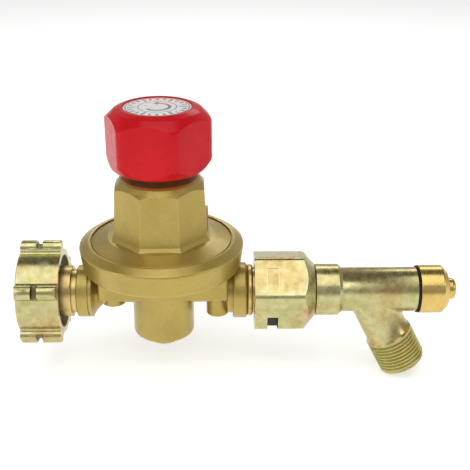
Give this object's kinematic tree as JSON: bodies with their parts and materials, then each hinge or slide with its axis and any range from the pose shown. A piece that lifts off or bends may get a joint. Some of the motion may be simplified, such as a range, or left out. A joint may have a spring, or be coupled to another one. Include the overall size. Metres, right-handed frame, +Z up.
{
  "type": "gas cylinder pressure regulator",
  "caption": "Adjustable gas-cylinder pressure regulator with lobed hand nut, red knob and union nut, and a hose-rupture valve with an angled threaded branch and push button.",
  "frame": {"origin": "centre of the hand nut's open face, where the nut meets the cylinder valve", "axes": "+X along the pipe axis from the cylinder to the push button, +Z up the knob's axis, -Y towards the front"},
  "size_m": [0.1496, 0.0552, 0.0981],
  "materials": {
    "casting": "satin gold-coloured paint on a casting",
    "plated": "yellow-passivated zinc plate, turned",
    "bright_brass": "polished, turned",
    "plain_brass": "turned, dull",
    "sintered_bronze": "sintered grains",
    "red_plastic": "glossy moulded red",
    "label_foil": "silver-white foil, plain scale marks",
    "black_rubber": "matt black",
    "fibre_seal": "matt grey-black",
    "spring_steel": "drawn wire, oiled",
    "bright_steel": "zinc-plated"
  },
  "bodies": {
    "housing": {"body_casting": "casting", "inlet_nipple": "plain_brass", "inlet_seal": "fibre_seal", "nut_backstop_ring": "plain_brass", "inlet_filter": "sintered_bronze", "seat_insert": "plain_brass", "bonnet": "casting", "diaphragm": "black_rubber", "outlet_nipple": "bright_brass", "main_spring": "spring_steel", "poppet_spring": "spring_steel"},
    "hand_nut": {"hand_nut": "plated"},
    "adjuster": {"spring_plate": "bright_steel", "thrust_ball": "bright_steel"},
    "knob": {"knob": "red_plastic", "adjusting_screw": "plain_brass", "knob_screw": "bright_steel", "knob_label": "label_foil"},
    "valve_train": {"diaphragm_plate": "bright_steel", "diaphragm_pusher": "plain_brass", "diaphragm_nut": "bright_steel", "valve_poppet": "plain_brass", "poppet_pad": "black_rubber"},
    "rupture_valve": {"rupture_valve_body": "plated", "swivel_nipple": "plain_brass", "seat_ring": "plain_brass", "end_cap": "bright_brass", "cap_oring": "black_rubber", "stem_oring": "black_rubber", "check_spring": "spring_steel", "button_spring": "spring_steel"},
    "union_nut": {"union_nut": "plated"},
    "check": {"check_piston": "plain_brass", "check_seal": "black_rubber"},
    "button": {"push_button": "bright_brass", "stem_clip": "spring_steel"}
  },
  "joints": [
    {"name": "hand_nut_spin", "type": "hinge", "parent": "housing", "child": "hand_nut", "pos_m": [0, 0, 0], "axis": [1, 0, 0], "continuous": true},
    {"name": "adjuster_slide", "type": "slide", "parent": "housing", "child": "adjuster", "axis": [0, 0, 1], "range_m": [-0.0018, 0.0045], "deforming": ["main_spring"]},
    {"name": "knob_turn", "type": "hinge", "parent": "adjuster", "child": "knob", "pos_m": [0.0483, 0, 0.05], "axis": [0, 0, 1], "range_deg": [-432.5, 1080.5]},
    {"name": "diaphragm_slide", "type": "slide", "parent": "housing", "child": "valve_train", "axis": [0, 0, 1], "range_m": [-0.0012, 0], "stiffness_N_per_m": 1500, "springref_m": 0.001, "deforming": ["diaphragm", "poppet_spring", "main_spring"]},
    {"name": "valve_swivel", "type": "hinge", "parent": "housing", "child": "rupture_valve", "pos_m": [0.09, 0, 0], "axis": [1, 0, 0], "continuous": true},
    {"name": "union_nut_spin", "type": "hinge", "parent": "housing", "child": "union_nut", "pos_m": [0.09, 0, 0], "axis": [1, 0, 0], "continuous": true},
    {"name": "check_slide", "type": "slide", "parent": "rupture_valve", "child": "check", "axis": [1, 0, 0], "range_m": [0, 0.0018], "stiffness_N_per_m": 150, "springref_m": -0.003, "deforming": ["check_spring"]},
    {"name": "button_slide", "type": "slide", "parent": "rupture_valve", "child": "button", "axis": [1, 0, 0], "range_m": [-0.0023, 0], "stiffness_N_per_m": 300, "springref_m": 0.004, "deforming": ["button_spring"]}
  ],
  "couplings": [
    {"joint": "knob_turn", "follows": "adjuster_slide", "rad_per_m": 4188.8}
  ]
}
